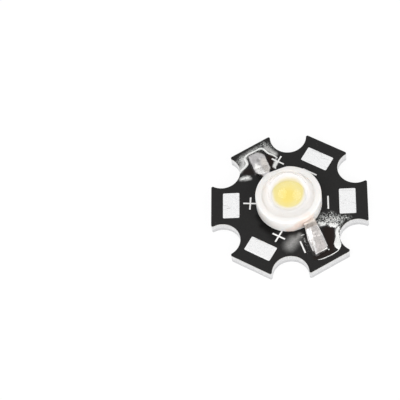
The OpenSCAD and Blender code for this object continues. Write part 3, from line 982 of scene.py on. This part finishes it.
def makeBody():
    shape = bmesh.new()
    radius, rim, foot = bodyHigh.x, bodyHigh.z, bodyLow.z
    seat, well, dish = lensLow.z, gelLow.z, gelHigh.x
    seatRadius = lensHigh.x + emitter["seatPlay"]
    corners = wire(shape, [
        (emitter["slugRadius"], foot), (radius, foot), (radius, rim), (seatRadius, rim),
        (seatRadius, seat), (dish, seat), (fillHigh.x, well), (fillHigh.x, emitter["wellFoot"]),
        (emitter["slugRadius"], emitter["wellFoot"]),
    ], closed=True)
    for corner, size in ((1, "footRound"), (2, "edgeRound"), (3, "rimRound")):
        roundCorner(shape, corners[corner], emitter[size])
    lathe(shape, emitter["steps"])
    for side, (distance, left, height) in emitter["flats"].items():
        out = Vector(alongEmitter((1, 0, 0), leadTurns[side]))
        cut = bmesh.ops.bisect_plane(
            shape, geom=shape.verts[:] + shape.edges[:] + shape.faces[:], dist=0.0001,
            plane_co=out * distance, plane_no=out, clear_outer=True,
        )
        rimEdges = [item for item in cut["geom_cut"] if isinstance(item, bmesh.types.BMEdge)]
        flat = bmesh.ops.contextual_create(shape, geom=rimEdges)["faces"][0]
        beginAt(shape, flat, Vector(alongEmitter((distance, left, height), leadTurns[side])))
    piece = newPiece("emitterBody", shape, bodyPlastic, "emitter_body", sharp=30)


drop = {
    "steps": 96,
    "crownSteps": 12,
    "foot": 2.4,  # hidden foot of the fill, over the chip's carrier
}


def makeDrop():
    shape = bmesh.new()
    rise = fillHigh.z - gelLow.z
    ball = (fillHigh.x ** 2 + rise ** 2) / (2 * rise)
    corners = wire(shape, [(0, drop["foot"]), (fillHigh.x, drop["foot"]), (fillHigh.x, gelLow.z)])
    arc(shape, corners[-1], fillHigh.z - ball, math.asin(fillHigh.x / ball), drop["crownSteps"])
    lathe(shape, drop["steps"])
    piece = newPiece("phosphorDrop", shape, phosphor, "phosphor")


lensShape = {
    "steps": 160,
    "domeSteps": 40,
    "sink": 0.03,  # how far the clear piece runs into what it touches, so no air lies between
    "flangeRound": 0.06,
}


def makeLens():
    shape = bmesh.new()
    sink = lensShape["sink"]
    flange = lensHigh.x
    dome = gelHigh.x
    flangeTop = lensHigh.z - dome
    seat = lensLow.z
    corners = wire(shape, [
        (0, fillHigh.z - sink), (fillHigh.x, gelLow.z - sink), (dome, seat - sink), (flange, seat - sink),
        (flange, flangeTop), (dome, flangeTop),
    ])
    arc(shape, corners[-1], flangeTop, math.pi / 2, lensShape["domeSteps"])
    roundCorner(shape, corners[4], lensShape["flangeRound"], 3)
    lathe(shape, lensShape["steps"])
    piece = newPiece("domeLens", shape, clearLens, "lens", "gel_fill", sharp=35)


makeBody()
makeDrop()
makeLens()
print("emitter is built")


# Leads and the solder that wets them, drawn along X from the emitter's middle and then turned

leads = {
    "edge": 0.05,  # rounding of the strip's edges
    "sides": {
        "anode": {
            "offset": leadOffsets["anode"],
            "heel": 4.55,  # where the solder's skin begins
            "covers": 4.75,  # where it covers the strip's upper face
            "rootHalf": 0.55,  # half of its width where it begins, and further out
            "footHalf": 1.1,
            "fullFrom": 5.8,  # where it has its full width
            "toe": 8.3,  # where its face ends
            "slant": -0.08,  # how much further the toe reaches per mm to the left
            "lip": 0.0,  # bead of solder along the toe
            "reach": 0.32,  # run-out past the toe
            "corner": (1.6, 0.9),  # rounding of the toe's right-hand corner, along and across
        },
        "cathode": {
            "offset": leadOffsets["cathode"],
            "heel": 4.7,
            "covers": 4.85,
            "rootHalf": 0.7,
            "footHalf": 0.95,
            "fullFrom": 5.8,
            "toe": 8.28,
            "slant": -0.2,
            "lip": 0.05,
            "reach": 0.12,
            "corner": (0.15, 0.15),
        },
    },
    # stations along the strip and heights of its upper face
    "rampFrom": 4.28,
    "rampTo": 6.2,
    "rootTop": 2.95,
    "footTop": 1.98,
}

solderSkin = {
    "cells": (96, 64),
    "board": 5.5,  # where the solder reaches down to the board
    "landing": 0.25,  # length of its way down there
    "run": 0.12,  # rounding of the sides
    "sink": 0.02,  # under the mask's face
    "under": 0.01,  # thickness at its edge
    "wrap": 0.14,  # how far the skin wraps down the sides of the ramp
    "film": 0.03,
    "bare": -0.1,  # its height where it leaves the strip's upper face bare
    "cover": (0.3, 0.5),  # how far before the covered face it begins to rise, and over which length
    "ripple": 0.035,
    "ripples": 2.1,  # per mm
    "octaves": (0.8, 2.0, 3),  # fall-off, step and number of the finer ripples
    "wave": 0.06,  # how much the sides wander
    "waves": 1.6,  # per mm
    "lip": (0.06, 0.12),  # distance of the bead along the toe from its edge, and half its width
    # crease on the cathode joint
    "ridge": {"height": 0.24, "near": (4.8, -0.05), "far": (8.6, -0.95), "rise": 0.8, "leastSpan": 0.05},
    # over the anode lead's hole, with its edge in radii
    "dimple": {"at": 7.28, "radius": 0.3, "depth": 0.07, "edge": 1.4, "crown": 0.05},
}


def clamp(value, low=0.0, high=1.0):
    return max(low, min(high, value))


def softStep(value):
    value = clamp(value)
    return value * value * (3 - 2 * value)


def blend(start, end, share):
    return start + (end - start) * share


def makeLead(side):
    node = side + "_lead"
    shape = cadCopy(node)
    roundEdges(shape, sharpEdges(shape), leads["edge"], 2)
    piece = newPiece(side + "Lead", shape, leadMetal, node)


def ridgeFilm(x, y, half):  # roof of solder with its crease from the lead's middle to a corner of its tip
    ridge = solderSkin["ridge"]
    (nearX, nearY), (farX, farY) = ridge["near"], ridge["far"]
    crease = blend(nearY, farY, clamp((x - nearX) / (farX - nearX)))
    span = crease + half if y < crease else half - crease
    slope = clamp(1 - abs(y - crease) / max(span, ridge["leastSpan"]))
    return ridge["height"] * slope * softStep((x - nearX) / ridge["rise"])


def dimpleFilm(x, y, half):  # crowned film with a dimple over the hole
    dimple = solderSkin["dimple"]
    away = math.hypot(x - dimple["at"], y) / dimple["radius"]
    return dimple["crown"] * (1 - (y / half) ** 2) - dimple["depth"] * softStep(dimple["edge"] - away)


def stripTop(x):
    share = clamp((x - leads["rampFrom"]) / (leads["rampTo"] - leads["rampFrom"]))
    return blend(leads["rootTop"], leads["footTop"], share)


def skinHalf(x, settings):
    share = (x - settings["heel"]) / (settings["fullFrom"] - settings["heel"])
    wave = solderSkin["wave"] * noise.noise(Vector((x * solderSkin["waves"], settings["offset"], 0)))
    return blend(settings["rootHalf"], settings["footHalf"], softStep(share)) + wave


def toeAt(y, settings):  # end of the skin's face, with one corner rounded off
    deep, wide = settings["corner"]
    turn = clamp(1 - (y + settings["footHalf"]) / wide)
    return settings["toe"] + settings["slant"] * y - deep * (1 - math.sqrt(1 - turn ** 2))


def skinBase(x):  # foot of the skin: the strip's side on the ramp, the board further out
    down = softStep((x - solderSkin["board"]) / solderSkin["landing"] + 1)
    return blend(stripTop(x) - solderSkin["wrap"], boardTop - solderSkin["sink"], down)


def skinTop(x, y, settings, filmShape):
    half = skinHalf(x, settings)
    early, length = solderSkin["cover"]
    covered = softStep((x - settings["covers"] + early) / length)
    film = solderSkin["film"] + filmShape(x, clamp(y, -half, half), half)
    top = stripTop(x) + blend(solderSkin["bare"], film, covered)
    ripples = solderSkin["ripples"]
    place = Vector((x * ripples, y * ripples, settings["offset"]))
    top += solderSkin["ripple"] * noise.fractal(place, *solderSkin["octaves"])
    toe = toeAt(y, settings)
    inset, lipHalf = solderSkin["lip"]
    top += settings["lip"] * softStep(1 - abs(x - toe + inset) / lipHalf)
    fall = math.sqrt(1 - clamp((abs(y) - half + solderSkin["run"]) / solderSkin["run"]) ** 2)
    fall *= math.sqrt(1 - clamp((x - toe) / settings["reach"]) ** 2)
    base = skinBase(x)
    return base + (top - base) * fall


def makeSolder(side, settings, filmShape):
    shape = bmesh.new()
    columns, rows = solderSkin["cells"]
    bmesh.ops.create_grid(shape, x_segments=columns, y_segments=rows, size=1)
    for vert in shape.verts:
        along, across = (vert.co.x + 1) / 2, vert.co.y
        reach = toeAt(settings["footHalf"] * across, settings) + settings["reach"]
        x = blend(settings["heel"], reach, along)
        y = skinHalf(x, settings) * across
        vert.co = (x, y, skinTop(x, y, settings, filmShape))
    under = bmesh.ops.extrude_face_region(shape, geom=shape.faces[:])
    for vert in vertsIn(under["geom"]):
        vert.co.z = skinBase(vert.co.x) - solderSkin["under"]
    bmesh.ops.recalc_face_normals(shape, faces=shape.faces)
    bmesh.ops.translate(shape, vec=(0, settings["offset"], 0), verts=shape.verts)
    turnTo(shape, leadTurns[side])
    piece = newPiece(side + "Solder", shape, solderMetals[side], "solder_joint_" + side, sharp=55)


for sideName in leadTurns:
    makeLead(sideName)
for sideName, sideFilm in (("anode", dimpleFilm), ("cathode", ridgeFilm)):
    makeSolder(sideName, leads["sides"][sideName], sideFilm)
print("leads are soldered")


# Flux that dried as beads round the joints

flux = {
    "beadSink": 0.015,  # how far a bead's middle lies under the mask's face
    "beadSteps": (2, 6),  # round a bead and along it
    # height per width, and points on the board with the width there
    "beads": {
        "fluxRimRear": (0.36, (
            (-6.28, 4.73, 0.16), (-6.12, 5.13, 0.28), (-5.7, 5.6, 0.34), (-5.36, 6.13, 0.42),
            (-5.5, 6.66, 0.36), (-5.63, 6.97, 0.28), (-5.34, 7.45, 0.28), (-4.81, 7.76, 0.28),
            (-4.21, 8.08, 0.22), (-3.71, 8.35, 0.26), (-3.31, 8.31, 0.28), (-3.01, 8.06, 0.26),
            (-2.61, 7.63, 0.24), (-2.11, 7.37, 0.22), (-1.72, 7.12, 0.2), (-1.42, 6.81, 0.1),
        )),
        "fluxRimFront": (0.4, (
            (3.45, -8.33, 0.05), (3.8, -8.27, 0.11), (4.59, -7.97, 0.13), (5.51, -7.49, 0.13),
            (6.1, -7.05, 0.1),
        )),
        "fluxBandFront": (0.16, (
            (6.2, -3.7, 0.25), (5.95, -4.39, 0.42), (6.0, -5.04, 0.48), (5.99, -5.6, 0.7),
            (5.98, -6.15, 0.98), (6.05, -6.6, 0.75), (6.12, -7.0, 0.15),
        )),
        "fluxPatchRear": (0.2, (
            (-6.2, 3.86, 0.06), (-5.9, 3.9, 0.24), (-5.65, 4.02, 0.12), (-5.35, 4.05, 0.3),
            (-5.05, 3.98, 0.08),
        )),
        "fluxSpotRear": (0.2, (
            (-1.5, 6.12, 0.12), (-1.7, 5.88, 0.44), (-1.8, 5.64, 0.5), (-1.7, 5.36, 0.24),
            (-1.64, 5.2, 0.08),
        )),
        "fluxMarkFront": (0.3, ((1.35, -4.8, 0.05), (1.58, -4.71, 0.14), (1.85, -4.6, 0.06))),
    },
    "seed": 7,
    "gather": 0.5,  # how close crumbs keep to the middle of their strip
    "narrow": (0.6, 1),  # a crumb's width and height per length
    "flat": (0.4, 0.7),
    "lift": 0.2,  # its middle over the mask's face, in radii
    # strewn crumbs: from, to, half width of the strewn strip, number, least and greatest radius
    "crumbs": {
        "fluxCrumbsFront": (
            ((3.6, -3.05), (4.5, -3.25), 0.26, 80, 0.04, 0.12),
            ((5.0, -3.3), (6.05, -3.5), 0.26, 95, 0.04, 0.13),
            ((3.75, -3.25), (4.3, -3.3), 0.2, 14, 0.12, 0.22),
            ((5.1, -3.5), (5.9, -3.6), 0.18, 14, 0.12, 0.22),
            ((4.5, -2.7), (6.2, -2.6), 0.5, 110, 0.02, 0.08),
            ((5.0, -2.0), (5.4, -1.6), 0.3, 25, 0.02, 0.05),
            ((6.3, -2.7), (7.3, -2.3), 0.3, 45, 0.02, 0.05),
            ((1.8, -5.1), (1.9, -6.0), 0.1, 10, 0.02, 0.05),
            ((6.15, -3.8), (5.95, -6.6), 0.22, 45, 0.05, 0.11),
            ((4.8, -6.95), (4.84, -6.95), 0.02, 1, 0.12, 0.13),
            ((2.0, -5.6), (2.5, -7.4), 0.35, 24, 0.01, 0.03),
        ),
        "fluxCrumbsRear": (
            ((-6.4, 6.8), (-3.0, 8.9), 0.45, 150, 0.012, 0.035),
            ((-6.1, 3.95), (-5.0, 4.1), 0.25, 40, 0.02, 0.07),
            ((-1.75, 5.4), (-1.7, 6.1), 0.12, 25, 0.02, 0.06),
        ),
    },
}


def makeBead(name, flatness, points):
    line = bpy.data.curves.new(name, "CURVE")
    line.dimensions = "3D"
    line.bevel_depth = 0.5  # half of a width of 1
    line.bevel_resolution, line.resolution_u = flux["beadSteps"]
    line.use_fill_caps = True
    path = line.splines.new("BEZIER")
    path.bezier_points.add(len(points) - 1)
    for place, (x, y, width) in zip(path.bezier_points, points):
        place.co = (x, y, 0)
        place.radius = width
        place.handle_left_type = "AUTO"
        place.handle_right_type = "AUTO"
    drawn = bpy.data.objects.new(name + "Line", line)
    scene.collection.objects.link(drawn)
    mesh = bpy.data.meshes.new_from_object(drawn.evaluated_get(bpy.context.evaluated_depsgraph_get()))
    bpy.data.objects.remove(drawn)
    shape = bmesh.new()
    shape.from_mesh(mesh)
    bpy.data.meshes.remove(mesh)
    bmesh.ops.remove_doubles(shape, verts=shape.verts, dist=merge)
    bmesh.ops.scale(shape, vec=(1, 1, 2 * flatness), verts=shape.verts)
    bmesh.ops.translate(shape, vec=(0, 0, boardTop - flux["beadSink"]), verts=shape.verts)
    bmesh.ops.recalc_face_normals(shape, faces=shape.faces)
    newPiece(name, shape, fluxCrust, sharp=60)


def makeCrumbs(name, strips):
    shape = bmesh.new()
    dice = random.Random(flux["seed"])
    for start, end, half, number, least, greatest in strips:
        start, end = Vector(start), Vector(end)
        across = (end - start).orthogonal().normalized()
        for _ in range(number):
            place = start.lerp(end, dice.random())
            place += across * half * clamp(dice.gauss(0, flux["gather"]), -1, 1)
            size = blend(least, greatest, dice.random() ** 2)
            flat = Matrix.Diagonal((1, dice.uniform(*flux["narrow"]), dice.uniform(*flux["flat"]), 1))
            turned = Matrix.Rotation(dice.uniform(0, math.tau), 4, "Z")
            there = Matrix.Translation((*place, boardTop + size * flux["lift"]))
            bmesh.ops.create_icosphere(shape, subdivisions=1, radius=size, matrix=there @ turned @ flat)
    newPiece(name, shape, fluxCrust, sharp=20)


for beadName, beadSettings in flux["beads"].items():
    makeBead(beadName, *beadSettings)
for crumbsName, crumbStrips in flux["crumbs"].items():
    makeCrumbs(crumbsName, crumbStrips)
print("flux is left")


# Printed plus and minus signs

signs = {
    "stroke": 0.2,
    "thickness": 0.015,
    "sink": 0.005,
    "round": 0.05,
    # centre on the board, turn in degrees, length, and whether it has a cross bar
    "places": {
        "signPlusLeft": ((-4.98, 0.2), -4, 1.8, True),
        "signPlusFront": ((-1.4, -4.75), 60, 1.8, True),
        "signPlusRear": ((-1.37, 6.3), 60, 1.8, True),
        "signMinusRight": ((4.96, -0.1), 90, 1.9, False),
        "signMinusRear": ((2.72, 4.5), 150, 2.0, False),
        "signMinusFront": ((1.6, -6.43), -70, 1.8, False),
    },
}


def makeSign(name, centre, turn, length, crossed):
    shape = bmesh.new()
    half = signs["stroke"] / 2
    bmesh.ops.create_grid(shape, x_segments=1, y_segments=1, size=half)
    for edge in shape.edges[:]:
        out = (edge.verts[0].co + edge.verts[1].co).normalized()
        if crossed or abs(out.x) > 0.5:
            drawn = bmesh.ops.extrude_edge_only(shape, edges=[edge])
            bmesh.ops.translate(shape, vec=out * (length / 2 - half), verts=vertsIn(drawn["geom"]))
    raised = bmesh.ops.extrude_face_region(shape, geom=shape.faces[:])
    lift = signs["thickness"] + signs["sink"]
    bmesh.ops.translate(shape, vec=(0, 0, lift), verts=vertsIn(raised["geom"]))
    bmesh.ops.recalc_face_normals(shape, faces=shape.faces)
    # upright edges at the ends of the strokes
    tips = [
        edge for edge in shape.edges
        if abs((edge.verts[0].co - edge.verts[1].co).z) > half / 10
        and max(abs(edge.verts[0].co.x), abs(edge.verts[0].co.y)) > length / 3
    ]
    roundEdges(shape, tips, signs["round"])
    turnTo(shape, turn)
    bmesh.ops.translate(shape, vec=(*centre, boardTop - signs["sink"]), verts=shape.verts)
    newPiece(name, shape, ink)


for signName, signPlace in signs["places"].items():
    makeSign(signName, *signPlace)
print("signs are printed")
